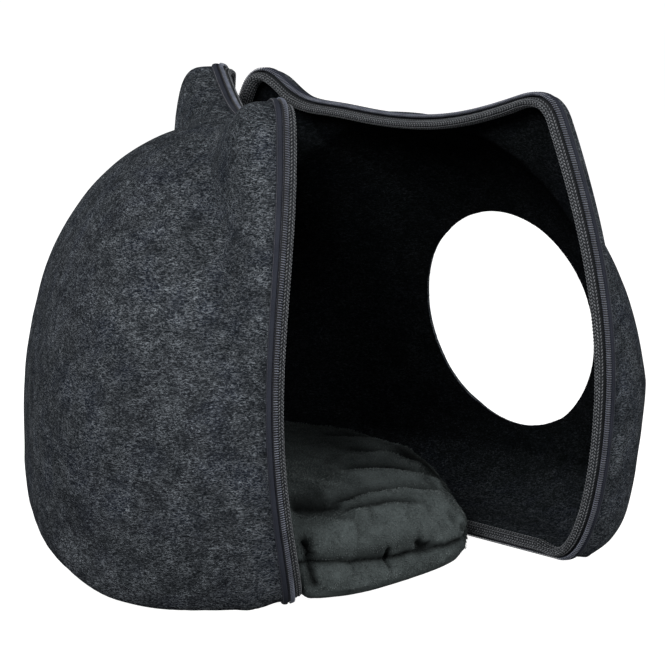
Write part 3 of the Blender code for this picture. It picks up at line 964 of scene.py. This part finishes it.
# %% Stitches on the tapes
STITCH = {
    "Pitch": 3.0 * MM,
    "Stitch length": 2.5 * MM,
    "Thread radius": 0.26 * MM,
    "Material": thread_finish,
}
stitches = stitch_tree()
for label, side in SIDES.items():
    top = side["rays"].tape_inset
    on_ledge = (top + TAPE_LEDGE["drop"] - 0.1 * MM, TAPE_START + TAPE_LEDGE["wide"] / 2)
    at_edge = (top + 0.3 * MM, TAPE_END - 0.35 * MM)
    lines = lines_mesh("stitch lines", rings_round(side, [on_ledge, at_edge]))
    look = STITCH | {"Deep direction": deep_direction(side)}
    side["stitches"] = grown(f"{label}_tape_stitches", lines, stitches, look)

# %% [markdown]
# ## The knitted binding
#
# A ribbon of warp-knitted mesh is rolled over the felt's raw edge, inside the coil. It is made as
# a soft swept roll, and its knit is set on it by the same way of walking along lines: ten lines of
# slanted stitches run round the roll, and each line slants against the next, which gives the small
# lozenges of the mesh.

# %% Binding roll
COIL_WIDTH, COIL_THICK = 4.6 * MM, 4.5 * MM
BINDING_REACH, BINDING_BULGE, BINDING_FACE = 13.2 * MM, 5.6 * MM, 0.03 * MM
BULGE_TO_MEETING = 0.45


def binding_profile(rays):
    """A rolled ribbon below the coil. It bulges forward, but not where the rims meet."""
    outer = COIL_THICK + 0.4 * MM
    left_to_meet, _ = to_meeting(rays)
    bulge = np.minimum(BINDING_BULGE, BULGE_TO_MEETING * left_to_meet)
    felt_inner = rays.felt_inset + FELT + 4 * SEAT_GAP
    return [
        (outer, COIL_WIDTH),
        (outer, 0.8 * MM),
        (outer + 1.5 * MM, BINDING_FACE - 0.75 * bulge),
        (outer + 4.3 * MM, BINDING_FACE - bulge),
        (BINDING_REACH - 1.0 * MM, BINDING_FACE - 0.45 * bulge),
        (BINDING_REACH, 3.0 * MM),
        (BINDING_REACH - 1.4 * MM, 9.0 * MM),
        (felt_inner, 9.6 * MM),
        (felt_inner, COIL_WIDTH),
    ]


for label, side in SIDES.items():
    side["roll"] = rounded(binding_profile(side["rays"]), steps=4)
    side["binding"] = rim_strip(f"{label}_binding", side, side["roll"], ribbon_ground)


# %% Tree: knit stitches on lines
LEAF_THINNESS = 0.8


def knit_tree():
    """One leaf-shaped stitch per pitch. Its line carries which way is off the surface."""
    tree, values = new_tree("knit stitches", ("Pitch", "Stitch length", "Stitch width"))
    points, tangent = walk_lines(tree, values)

    def carried(name, kind):
        inputs = {"Name": name}
        return add_node(tree, "GeometryNodeInputNamedAttribute", inputs, data_type=kind).outputs[0]

    turn = turned(tree, "X", carried("off_surface", "FLOAT_VECTOR"), "Z", tangent)
    inputs = {"Rotation": turn, "Rotate By": vector(tree, X=carried("slant", "FLOAT"))}
    lean = add_node(tree, "FunctionNodeRotateRotation", inputs, rotation_space="LOCAL").outputs[0]
    ball = {"Segments": 5, "Rings": 3, "Radius": 0.5}
    leaf = add_node(tree, "GeometryNodeMeshUVSphere", ball).outputs[0]
    width = values["Stitch width"]
    thin = maths(tree, "MULTIPLY", width, LEAF_THINNESS)
    inputs = {"Geometry": leaf, "Scale": vector(tree, X=thin, Y=width, Z=values["Stitch length"])}
    shaped = add_node(tree, "GeometryNodeTransform", inputs).outputs[0]
    return set_out(tree, values, points, shaped, lean)


# %% Lines of the knit
KNIT = {
    "Pitch": 2.9 * MM,
    "Stitch length": 2.8 * MM,
    "Stitch width": 1.15 * MM,
    "Material": ribbon_yarn,
}
KNIT_LINES = 10
KNIT_SLANT = math.radians(33.0)
# The first and last line, as places along the profile of the roll.
KNIT_FIRST, KNIT_LAST = 5.6, 26.0


def knit_lines(side):
    """Closed lines round the roll, each with its way off the surface and its stitches' slant."""
    rings = np.array(rings_round(side, side["roll"]))
    around = np.roll(rings, -1, axis=0) - np.roll(rings, 1, axis=0)
    along = np.roll(rings, -1, axis=1) - np.roll(rings, 1, axis=1)
    off = np.cross(around, along)
    off /= np.linalg.norm(off, axis=2)[:, :, None]
    if (off * (rings - rings.mean(axis=0))).sum() < 0.0:
        off = -off
    lines, ways, slants = [], [], []
    for column, at in enumerate(np.linspace(KNIT_FIRST, KNIT_LAST, KNIT_LINES)):
        low, part = int(at) % len(rings), at % 1.0
        high = (low + 1) % len(rings)
        ring = rings[low] * (1.0 - part) + rings[high] * part
        if column % 2:
            ring = (ring + np.roll(ring, -1, axis=0)) / 2
        lines.append(ring)
        ways.append(off[low] * (1.0 - part) + off[high] * part)
        slants.append(np.full(len(ring), KNIT_SLANT * (1 if column % 2 else -1)))
    mesh = lines_mesh("knit lines", lines)
    off_surface = mesh.attributes.new("off_surface", "FLOAT_VECTOR", "POINT")
    off_surface.data.foreach_set("vector", np.concatenate(ways).astype(np.float32).ravel())
    slant = mesh.attributes.new("slant", "FLOAT", "POINT")
    slant.data.foreach_set("value", np.concatenate(slants).astype(np.float32))
    return mesh


knit = knit_tree()
for label, side in SIDES.items():
    side["knit"] = grown(f"{label}_binding_knit", knit_lines(side), knit, KNIT)

# %% [markdown]
# ## The plush pad
#
# The pad is a filled cushion of short-pile plush. It starts as a fine, smoothed remesh of its plain
# solid, which already rests over the two lips. Blender's cloth then blows it up like a pillow whose
# cover is a little too big, so it wrinkles as real filled cloth does. The sewn seam and the main
# creases come after that, because a remesh would lose them: each crease is a soft trough or ridge
# along a line that was read off the photograph and is cast from the camera onto the pad.

# %% Plush materials
# Each as mm apart, detail, roughness and distortion.
NAP_STROKE, NAP = (21.0, 3.0, 0.6, 1.2), (1.4, 2.0, 0.7, 0.5)
NAP_SHEEN_SHARES = (0.42, 0.72, 0.0, 0.7)
CREASE_SHADE = 0.92


def plush_material(name, low, high, nap_sheen_tone):
    """Short polyester pile: dark green-grey, paler in random patches of the nap: painted sheen."""
    material, tree, shader = new_material(name, roughness=0.95, specular_ior_level=0.04)
    where = own_space(tree)
    stroke = map_range(tree, noise_at(tree, where, *NAP_STROKE), *TONES_MEET)
    nap = noise_at(tree, where, *NAP)
    # Painted sheen: random patches of the nap are made paler, as if they caught the light.
    nap_sheen = map_range(tree, nap, *NAP_SHEEN_SHARES)
    # The crease attribute is painted shade: the plush darkens in its creases, its seam and the
    # seam's roll.
    sunk = add_node(tree, "ShaderNodeAttribute", attribute_name="crease").outputs["Fac"]
    colour = mix_colours(tree, stroke, srgb(low), srgb(high))
    colour = mix_colours(tree, nap_sheen, colour, srgb(nap_sheen_tone))
    colour = mix_colours(tree, maths(tree, "MULTIPLY", sunk, CREASE_SHADE), colour, srgb("030404"))
    finish_with(tree, shader, colour, nap)
    return material


plush_ground = plush_material("short_pile_plush", "222626", "363b3b", "434949")
plush_pile = plush_material("plush_pile_tips", "353939", "4f5555", "5c6262")
print("nap drawn at", NAP[0], "mm")

# %% Pad: even faces
PAD_VOXEL = 4.5 * MM
PAD_SMOOTHING, PAD_SMOOTH_FACTOR = 12, 0.5
PAD_WELD = 0.01 * MM


def pad_start():
    """A welded copy of the pad's solid, remeshed into even faces and smoothed."""
    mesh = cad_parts["cushion"].data.copy()
    shape = bmesh.new()
    shape.from_mesh(mesh)
    bmesh.ops.remove_doubles(shape, verts=shape.verts, dist=PAD_WELD)
    shape.to_mesh(mesh)
    shape.free()
    mesh.materials.clear()
    obj = link(bpy.data.objects.new("pad", mesh))
    remesh = obj.modifiers.new("even faces", "REMESH")
    remesh.mode = "VOXEL"
    remesh.voxel_size = PAD_VOXEL
    remesh.adaptivity = 0.0
    smoother = obj.modifiers.new("no old creases", "SMOOTH")
    smoother.factor = PAD_SMOOTH_FACTOR
    smoother.iterations = PAD_SMOOTHING
    return bake_modifiers(obj)


def points_and_normals(mesh):
    """Both as arrays of rows."""
    places = np.empty(len(mesh.vertices) * 3, np.float32)
    mesh.vertices.foreach_get("co", places)
    normals = np.empty(len(mesh.vertices) * 3, np.float32)
    mesh.vertex_normals.foreach_get("vector", normals)
    return places.reshape(-1, 3).astype(float), normals.reshape(-1, 3).astype(float)


def set_points(mesh, places):
    mesh.vertices.foreach_set("co", places.astype(np.float32).ravel())
    mesh.update()


pad = pad_start()
tell(pad)

# %% Pad: blown up as cloth
PAD_FRAMES = 20
PAD_FIRST_INWARD = 1.0 * MM
PAD_MOST_MOVE = 4.0 * MM
UNDERSIDE_FACES = -0.25
PLUSH_COVER = {
    "quality": 5,
    "mass": 0.2,
    "tension_stiffness": 15.0,
    "compression_stiffness": 15.0,
    "shear_stiffness": 5.0,
    "bending_stiffness": 0.1,
    "use_pressure": True,
    "uniform_pressure_force": 4.0,
    "shrink_min": -0.07,
}


def blow_up(obj):
    """Cloth with air in it. Points move no further than the cap, and the underside stays put."""
    start, normals = points_and_normals(obj.data)
    set_points(obj.data, start - normals * PAD_FIRST_INWARD)
    held = obj.vertex_groups.new(name="underside")
    held.add([int(k) for k in np.flatnonzero(normals[:, 2] < UNDERSIDE_FACES)], 1.0, "REPLACE")
    cloth = obj.modifiers.new("plush cover", "CLOTH")
    for name, value in PLUSH_COVER.items():
        setattr(cloth.settings, name, value)
    cloth.settings.effector_weights.gravity = 0.0
    cloth.settings.vertex_group_mass = held.name
    cloth.collision_settings.use_collision = False
    cloth.point_cache.frame_end = PAD_FRAMES
    for number in range(1, PAD_FRAMES + 1):
        bpy.context.scene.frame_set(number)
    bake_modifiers(obj)
    bpy.context.scene.frame_set(1)
    swollen, _ = points_and_normals(obj.data)
    moves = swollen - start
    lengths = np.linalg.norm(moves, axis=1)
    moves *= np.minimum(1.0, PAD_MOST_MOVE / np.maximum(lengths, 1e-9))[:, None]
    set_points(obj.data, start + moves)
    print("pad's cover moved by up to", round(lengths.max() / MM, 1), "mm before the cap")


blow_up(pad)
finer = pad.modifiers.new("finer", "SUBSURF")
finer.levels = finer.render_levels = 1
bake_modifiers(pad)
tell(pad)

# %% Pad: the creases that the photograph shows
PAD_CREASES = (
    # crease,                depth mm, half width mm, its line in the photograph, px
    ("across the top",          7.5,  8.5, ((318, 498), (342, 492.5), (362, 487), (389, 484.4),
                                            (416, 484.6), (436, 487), (449, 489.7))),
    ("hollow by the rim",       9.0, 26.0, ((283, 499), (300, 499), (322, 498), (340, 495))),
    ("second, in front",        4.5,  7.5, ((335, 507), (349, 503), (369, 499.8), (389, 496.4),
                                            (409, 497.8), (425, 500))),
    ("ridge behind",           -4.5, 12.0, ((322, 488), (335, 479), (355, 475.7), (382, 475),
                                            (409, 477), (436, 480.5))),
    ("trough behind",           5.5, 11.0, ((340, 470), (361, 464.5), (385, 463.5), (405, 466),
                                            (425, 472), (440, 481))),
    ("ridge further back",     -3.5, 10.0, ((365, 458), (382, 455), (402, 455), (416, 459),
                                            (429, 467), (442, 478))),
    ("trough further back",     5.0, 11.0, ((340, 447), (362, 447.5), (385, 449), (404, 453),
                                            (420, 461))),
    ("pale ridge",             -3.0,  8.0, ((325, 440), (350, 441), (371, 441.5), (395, 446),
                                            (409, 451))),
    ("trough at the back",      3.5, 10.0, ((320, 434), (345, 433.5), (370, 434.5), (390, 438))),
    ("wrinkle at the edge, 1",  2.6,  3.4, ((410, 466), (428, 472), (441, 480))),
    ("wrinkle at the edge, 2",  2.6,  3.4, ((405, 472.5), (425, 476.5), (441, 484))),
    ("wrinkle at the edge, 3",  2.4,  3.4, ((420, 479), (436, 483), (447, 489))),
    ("hollow on the bulge",     2.2,  9.0, ((316, 512), (335, 511), (350, 514), (362, 520))),
    ("deep pucker, above",     10.0,  4.4, ((303, 534), (306, 548), (309, 558), (310.5, 563))),
    ("deep pucker, below",      6.0,  3.8, ((309.5, 560), (311, 574), (314, 583), (318, 590))),
    ("pucker, middle",          6.0,  2.8, ((394, 547), (394.3, 558.5), (393.5, 570))),
    ("gather",                  5.5,  3.4, ((418, 541), (426.5, 548.7), (434, 545))),
    ("under the gather",        1.3,  3.0, ((422.5, 551), (422.5, 564))),
    ("tip, first",              2.8,  3.0, ((457, 524), (463.5, 535), (462, 541))),
    ("tip, second",             1.8,  4.0, ((448, 512), (458, 527))),
    ("tip, third",              1.6,  3.0, ((466, 521), (468.5, 531))),
    ("flatter shoulder",        5.0, 20.0, ((392, 444), (416, 454), (432, 467), (443, 482))),
    ("fuller tip",             -5.0, 14.0, ((455, 516), (461, 525), (462, 534))),
    ("corner by the rim",      -6.0, 12.0, ((302, 570), (303, 581), (304, 591))),
    ("panel, second",           1.8,  6.0, ((325, 567), (328, 589))),
    ("panel, third",            1.4,  6.0, ((345, 567), (349, 583))),
    ("panel, fourth",           1.2,  6.0, ((372, 565), (376, 579))),
    ("panel, fifth",            1.2,  5.0, ((408, 559), (414, 571))),
)
CREASE_STEP_PX = 1.5
CREASE_END = 0.22
CREASE_AT_END = 0.25
CREASE_ROOM = 3.0


def camera_ray(px, py):
    """The direction in which the camera sees a pixel of the photograph."""
    middle = PHOTO_SIDE_PX / 2
    own = Vector((px - middle, middle - py, -FOCAL_PX))
    return (camera.rotation_euler.to_matrix() @ own).normalized()


def cast_line(tree, corners):
    """Points on the pad along a line of the photograph, and how far along it each lies."""
    corners = np.array(corners, float)
    legs = np.hypot(*np.diff(corners, axis=0).T)
    travel = np.concatenate([[0.0], np.cumsum(legs)])
    wanted = np.linspace(0.0, travel[-1], int(travel[-1] / CREASE_STEP_PX) + 2)
    hits = []
    for at in wanted:
        px, py = (np.interp(at, travel, corners[:, axis]) for axis in (0, 1))
        place = tree.ray_cast(CAMERA_PLACE, camera_ray(px, py))[0]
        if place is not None:
            hits.append((*place, at / travel[-1]))
    return np.array(hits)


def crease_share(places, line, half_width):
    """How fully each point takes part in a crease: 1 on its line, fading off it and at its ends."""
    share = np.zeros(len(places))
    lows, highs = line[:, :3].min(axis=0), line[:, :3].max(axis=0)
    room = CREASE_ROOM * half_width
    near = np.flatnonzero(((places > lows - room) & (places < highs + room)).all(axis=1))
    gaps = np.linalg.norm(places[near, None, :] - line[None, :, :3], axis=2)
    nearest = gaps.argmin(axis=1)
    along = line[nearest, 3]
    fade = smoothstep(along / CREASE_END) * smoothstep((1.0 - along) / CREASE_END)
    away = gaps[np.arange(len(near)), nearest] / half_width
    share[near] = np.exp(-(away**2)) * (CREASE_AT_END + (1.0 - CREASE_AT_END) * fade)
    return share


# %% Pad: seam and unseen puckers
SEAM_HEIGHTS = (
    # degrees round the pad's middle, mm above the floor
    (0, 28.0), (90, 28.0), (150, 32.0), (180, 34.5), (190, 32.5), (199, 28.0), (206, 25.0),
    (213, 25.0), (222, 24.0), (236, 24.0), (250, 26.0), (315, 28.0), (360, 28.0),
)
SEAM_ROLL_SHARES = (
    # degrees round the pad's middle, share of the full roll
    (0, 0.6), (130, 0.6), (160, 0.0), (182, 0.1), (190, 0.8), (204, 0.9), (216, 0.4),
    (228, 0.0), (246, -0.1), (262, 0.5), (360, 0.6),
)
# Shade is the share of painted shade down the seam's roll.
SEAM_ROLL = {"depth": 8.0 * MM, "above": 15.0 * MM, "below": 7.0 * MM, "shade": 0.5}
SEAM_LINE = {"depth": 2.6 * MM, "half width": 2.3 * MM}
UNSEEN_PUCKERS = (18, 57, 96, 131, 262, 297, 334)
PUCKER = {"depth": 3.5 * MM, "half width": 5.0 * MM, "tall": 13.0 * MM}
DARKEST_FROM = 5.0 * MM
STILL_BELOW = 8.0 * MM


def seam_moves(places, normals):
    """How the seam and the unseen puckers move each point, and its painted shade in the seam and
    roll.
    """
    inward = -normals * (1.0, 1.0, 0.0)
    turn = np.degrees(np.arctan2(places[:, 1] - BACK_RIM_Y, places[:, 0])) % 360.0
    off_seam = places[:, 2] - np.interp(turn, *np.array(SEAM_HEIGHTS).T) * MM
    line = np.exp(-((off_seam / SEAM_LINE["half width"]) ** 2))
    half_width = np.where(off_seam > 0.0, SEAM_ROLL["above"], SEAM_ROLL["below"])
    roll = np.exp(-((off_seam / half_width) ** 2))
    roll *= np.interp(turn, *np.array(SEAM_ROLL_SHARES).T)
    moves = inward * (SEAM_ROLL["depth"] * roll + SEAM_LINE["depth"] * line)[:, None]
    reach = np.hypot(places[:, 0], places[:, 1] - BACK_RIM_Y)
    for degrees_at in UNSEEN_PUCKERS:
        arc = np.radians((turn - degrees_at + 180.0) % 360.0 - 180.0) * reach
        share = np.exp(-((arc / PUCKER["half width"]) ** 2) - (off_seam / PUCKER["tall"]) ** 2)
        moves += inward * (PUCKER["depth"] * share)[:, None]
    side_wall = np.hypot(normals[:, 0], normals[:, 1])
    return moves, np.maximum(line, SEAM_ROLL["shade"] * roll) * side_wall


def sew(obj):
    """Draws the seam in all round, and sinks the creases. Each point keeps a painted shade for how
    deep it went.
    """
    mesh = obj.data
    places, normals = points_and_normals(mesh)
    points = [vertex.co for vertex in mesh.vertices]
    tree = BVHTree.FromPolygons(points, [face.vertices[:] for face in mesh.polygons])
    moves, sunk = seam_moves(places, normals)
    counts = []
    for _, depth_mm, half_width_mm, corners in PAD_CREASES:
        line = cast_line(tree, corners)
        counts.append(len(line))
        if not len(line):
            continue
        depth = depth_mm * MM
        share = crease_share(places, line, half_width_mm * MM)
        moves -= normals * (depth * share)[:, None]
        # Painted shade in the crease, darkest where it sinks DARKEST_FROM or more.
        sunk = np.maximum(sunk, share * min(1.0, max(0.0, depth) / DARKEST_FROM))
    above_floor = smoothstep(places[:, 2] / STILL_BELOW)
    set_points(mesh, places + moves * above_floor[:, None])
    # The crease attribute carries the painted shade to the plush's colour.
    crease = mesh.attributes.new("crease", "FLOAT", "POINT")
    crease.data.foreach_set("value", sunk.astype(np.float32))
    return counts


print("points cast for each crease:", sew(pad))
pad.data.shade_smooth()
pad.data.materials.append(plush_ground)

# %% Tree: pile
NAP_SWIRL = 3.0
TUFT_SMALLEST, TUFT_LARGEST = 0.65, 1.3


def pile_tree():
    """Small closed spikes all over a surface, leaning with the nap."""
    floats = ("Tufts per square metre", "Tuft length", "Tuft radius", "Nap patches", "Ruffle")
    tree, values = new_tree("plush pile", floats, vectors=("Nap",), ints=("Seed",))
    normal = add_node(tree, "GeometryNodeInputNormal").outputs[0]
    up = add_node(tree, "ShaderNodeSeparateXYZ", {0: normal}).outputs["Z"]
    shows = add_node(tree, "FunctionNodeCompare", {0: up, 1: UNDERSIDE_FACES}).outputs[0]
    inputs = {"Mesh": values["Geometry"], "Selection": shows, "Seed": values["Seed"]}
    inputs |= {"Density": values["Tufts per square metre"]}
    scattered = add_node(tree, "GeometryNodeDistributePointsOnFaces", inputs)
    inputs = {"Scale": values["Nap patches"], "Detail": 2.0}
    patches = add_node(tree, "ShaderNodeTexNoise", inputs).outputs["Color"]
    swirl = scaled(tree, added(tree, patches, (-0.5, -0.5, -0.5)), NAP_SWIRL)
    inputs = {"Min": (-1.0, -1.0, -1.0), "Max": (1.0, 1.0, 1.0), "Seed": values["Seed"]}
    ruffle = add_node(tree, "FunctionNodeRandomValue", inputs, data_type="FLOAT_VECTOR").outputs[0]
    ruffle = scaled(tree, ruffle, values["Ruffle"])
    way = scattered.outputs["Normal"]
    for part in (values["Nap"], swirl, ruffle):
        way = added(tree, way, part)
    turn = add_node(tree, "FunctionNodeAlignRotationToVector", {"Vector": way}, axis="Z").outputs[0]
    inputs = {"Vertices": 3, "Radius Top": 0.0, "Radius Bottom": values["Tuft radius"]}
    inputs |= {"Depth": values["Tuft length"]}
    tuft = add_node(tree, "GeometryNodeMeshCone", inputs).outputs["Mesh"]
    inputs = {2: TUFT_SMALLEST, 3: TUFT_LARGEST, "Seed": values["Seed"]}
    size = add_node(tree, "FunctionNodeRandomValue", inputs).outputs[1]
    return set_out(tree, values, scattered.outputs["Points"], tuft, turn, size)


# %% Pile on the pad
PILE = {
    "Tufts per square metre": 200000.0,
    "Tuft length": 1.6 * MM,
    "Tuft radius": 0.42 * MM,
    "Nap": (0.0, -0.35, -0.7),
    "Nap patches": 1.0 / (26.0 * MM),
    "Ruffle": 0.28,
    "Seed": 7,
    "Material": plush_pile,
}
pile = grown("pad_pile", pad.data.copy(), pile_tree(), PILE)

# %% [markdown]
# ## Floor and light
#
# The product photograph is shot on white. Big softboxes light the cave from the camera's left and
# right, a weak one from above, and one from behind for the far side. The floor and the world look
# white to the camera alone, so that they don't fill the cave's dark inside with light.

# %% Floor
FLOOR_HALF = 40.0
FLOOR_DOWN = 0.4 * MM
SEEN_WHITE = 1.0
FLOOR_GLOW, WORLD_GLOW = 0.08, 0.08


def white_to_camera(tree, otherwise):
    """A strength that is full where the camera looks, and weak for all other light."""
    seen = add_node(tree, "ShaderNodeLightPath").outputs["Is Camera Ray"]
    return map_range(tree, seen, 0.0, 1.0, otherwise, SEEN_WHITE)


corners = [(-1, -1), (1, -1), (1, 1), (-1, 1)]
points = [(x * FLOOR_HALF, y * FLOOR_HALF, -FLOOR_DOWN) for x, y in corners]
floor_mesh = bpy.data.meshes.new("floor")
floor_mesh.from_pydata(points, [], [(0, 1, 2, 3)])
floor = link(bpy.data.objects.new("floor", floor_mesh))
floor_look = {"base_color": srgb("787878"), "roughness": 0.9, "emission_color": srgb("ffffff")}
floor_finish, floor_tree, floor_shader = new_material("matt_white_floor", **floor_look)
glow = white_to_camera(floor_tree, FLOOR_GLOW)
floor_tree.links.new(glow, floor_shader.inputs["Emission Strength"])
floor_mesh.materials.append(floor_finish)

# %% World and softboxes
world = bpy.data.worlds.new("white_studio")
world.use_nodes = True
bpy.context.scene.world = world
sky = world.node_tree
background = sky.nodes["Background"]
background.inputs["Color"].default_value = srgb("ffffff")
sky.links.new(white_to_camera(sky, WORLD_GLOW), background.inputs["Strength"])
bpy.context.scene.view_settings.view_transform = "Standard"

SOFTBOXES = (
    # name,             place,                aims at,             side m, watts
    ("softbox_left",   (-1.93, 1.06, 1.5),   (0.0, -0.1, 0.2),    1.0,    94.0),
    ("softbox_above",  (-0.75, -0.55, 2.1),  (-0.05, -0.2, 0.1),  0.8,    7.0),
    ("softbox_behind", (1.7, 1.3, 1.5),      (0.0, 0.0, 0.2),     1.0,    45.0),
    ("softbox_right",  (-1.4, -2.2, 1.1),    (0.0, -0.2, 0.2),    1.0,    60.0),
)
for name, place, aim, side_long, power in SOFTBOXES:
    light = bpy.data.lights.new(name, "AREA")
    light.shape = "SQUARE"
    light.size = side_long
    light.energy = power
    softbox = link(bpy.data.objects.new(name, light))
    softbox.location = place
    softbox.rotation_euler = facing(Vector(aim) - Vector(place))
print("softboxes:", len(SOFTBOXES))

# %% [markdown]
# ## Joining the frame
#
# Every piece rides on the one body, and stands for the solid whose place it takes.

# %% Ride and replace
for label, side in SIDES.items():
    for key, slot, node in (
        ("felt", "felt", f"{label}_shell"),
        ("tape", "zip_tape", f"zip_tape_{label}"),
        ("stitches", "zip_tape", None),
        ("coil", "zip_coil", f"zip_coil_{label}"),
        ("cord", "zip_coil", None),
        ("binding", "mesh_binding", f"binding_{label}"),
        ("knit", "mesh_binding", None),
    ):
        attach(side[key], "root")
        if node:
            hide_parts(node)
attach(pad, "root")
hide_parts("cushion")
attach(pile, "root")
